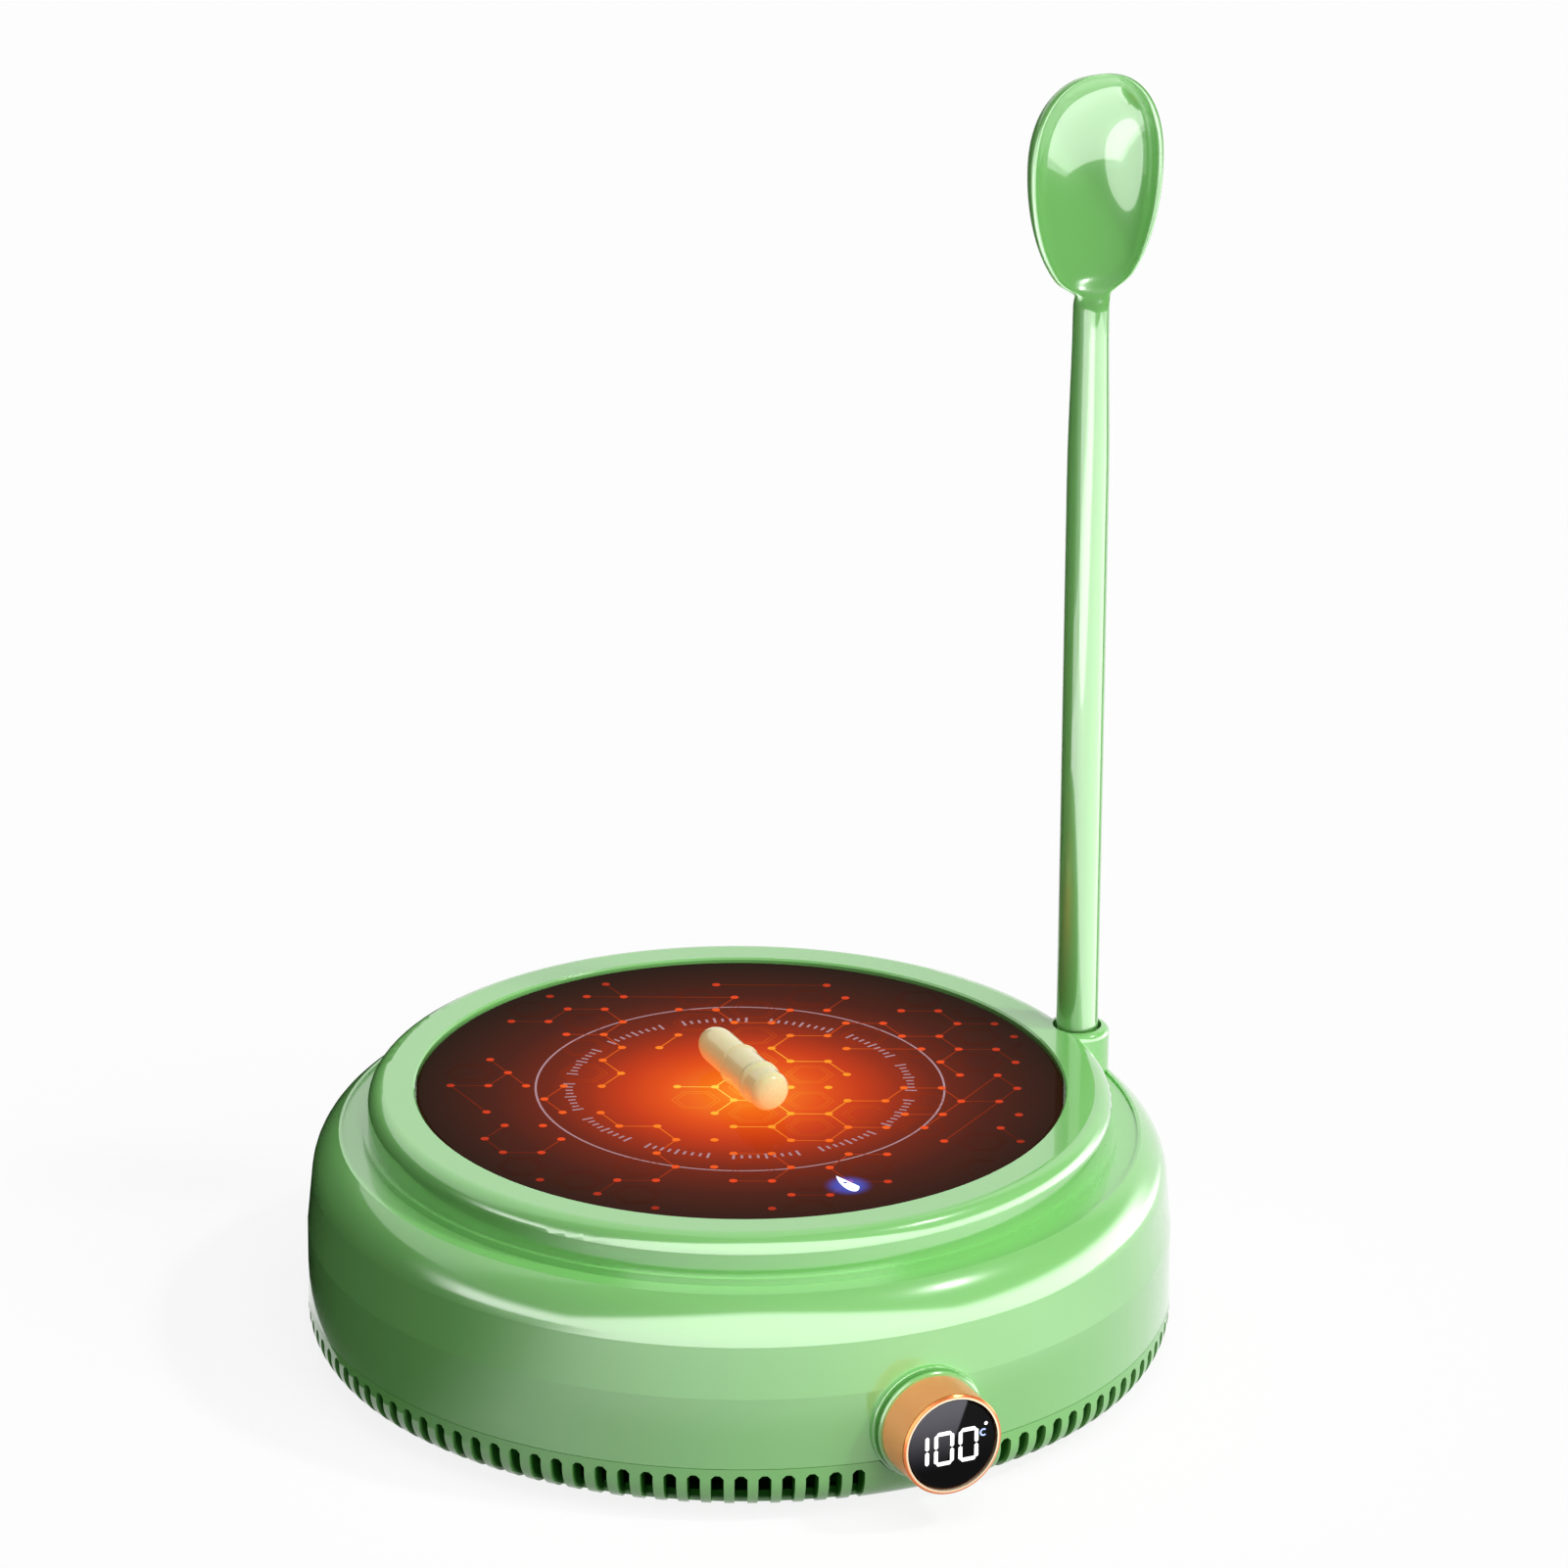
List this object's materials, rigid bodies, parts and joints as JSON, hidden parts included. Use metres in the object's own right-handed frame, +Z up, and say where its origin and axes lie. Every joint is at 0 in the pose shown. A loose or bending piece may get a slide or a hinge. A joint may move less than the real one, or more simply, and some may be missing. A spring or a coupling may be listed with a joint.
{
  "type": "electric mug warmer",
  "caption": "Round electric mug warmer with a glass heating plate, magnetic stirring bar, rotary display knob, touch key, comb of vent slots and a spoon standing in a socket.",
  "frame": {"origin": "middle of the footprint, on the plane that the ring-shaped foot stands on", "axes": "+Z up; -Y to the front, where the knob and the touch key are; +X to the spoon's socket"},
  "size_m": [0.1426, 0.1512, 0.2074],
  "materials": {
    "shell_green": "glossy moulded",
    "rubber_black": "matt",
    "silicone_grey": "matt",
    "screw_steel": "zinc plated",
    "plate_glass": "polished dark ceramic glass",
    "spreader_aluminium": "rolled",
    "heater_mica": "matt",
    "felt_white": "needled felt",
    "bracket_steel": "galvanised sheet",
    "component_black": "moulded",
    "component_white": "moulded",
    "board_green": "solder mask",
    "can_aluminium": "drawn",
    "motor_steel": "drawn can",
    "magnet_nickel": "nickel plated",
    "foam_grey": "conductive foam",
    "knob_copper": "copper-coloured anodised, turned",
    "knob_rim": "bright cut rim",
    "display_black": "polished black glass",
    "brass_plain": "turned",
    "bar_white": "smooth fluoropolymer coat",
    "spoon_green": "glossy moulded"
  },
  "bodies": {
    "base": {"housing": "shell_green", "base_pan": "shell_green", "foot_ring": "rubber_black", "base_screws": "screw_steel", "glass_plate": "plate_glass", "glass_gasket": "silicone_grey", "spreader_plate": "spreader_aluminium", "heater_element": "heater_mica", "insulation_disc": "felt_white", "heater_bracket": "bracket_steel", "bracket_screws": "screw_steel", "temperature_sensor": "component_black", "thermal_fuse": "can_aluminium", "touch_board": "board_green", "touch_pad": "foam_grey", "motor_mount": "rubber_black", "stir_motor": "motor_steel", "main_board": "board_green", "board_screws": "screw_steel", "power_relay": "component_black", "mains_capacitor": "can_aluminium", "board_header": "component_white", "knob_encoder": "component_black", "encoder_nut": "brass_plain", "control_board": "board_green", "push_switch": "component_black", "inlet_bush": "rubber_black", "socket_liner": "silicone_grey"},
    "rotor": {"motor_shaft": "screw_steel", "rotor_disc": "component_white", "rotor_magnets": "magnet_nickel"},
    "stirrer": {"stir_bar": "bar_white", "stir_bar_magnet": "magnet_nickel"},
    "display_core": {"display_carrier": "component_black", "stem_clip": "screw_steel", "display_board": "board_green", "display_lens": "display_black"},
    "knob_ring": {"knob_sleeve": "knob_copper", "knob_trim": "knob_rim", "knob_collar": "shell_green"},
    "spoon": {"spoon": "spoon_green"}
  },
  "joints": [
    {"name": "spoon_lift", "type": "slide", "parent": "base", "child": "spoon", "axis": [0, 0, 1], "range_m": [0, 0.035]},
    {"name": "knob_push", "type": "slide", "parent": "base", "child": "display_core", "axis": [0, 1, 0], "range_m": [0, 0.0004], "stiffness_N_per_m": 800, "springref_m": -0.002},
    {"name": "knob_turn", "type": "hinge", "parent": "display_core", "child": "knob_ring", "pos_m": [0, -0.0756, 0.015], "axis": [0, -1, 0], "continuous": true},
    {"name": "rotor_spin", "type": "hinge", "parent": "base", "child": "rotor", "pos_m": [0, 0, 0.0288], "axis": [0, 0, 1], "continuous": true},
    {"name": "stir_bar_spin", "type": "hinge", "parent": "base", "child": "stirrer", "pos_m": [0, 0, 0.0478], "axis": [0, 0, 1], "continuous": true}
  ],
  "couplings": [
    {"joint": "stir_bar_spin", "follows": "rotor_spin", "ratio": 1}
  ]
}
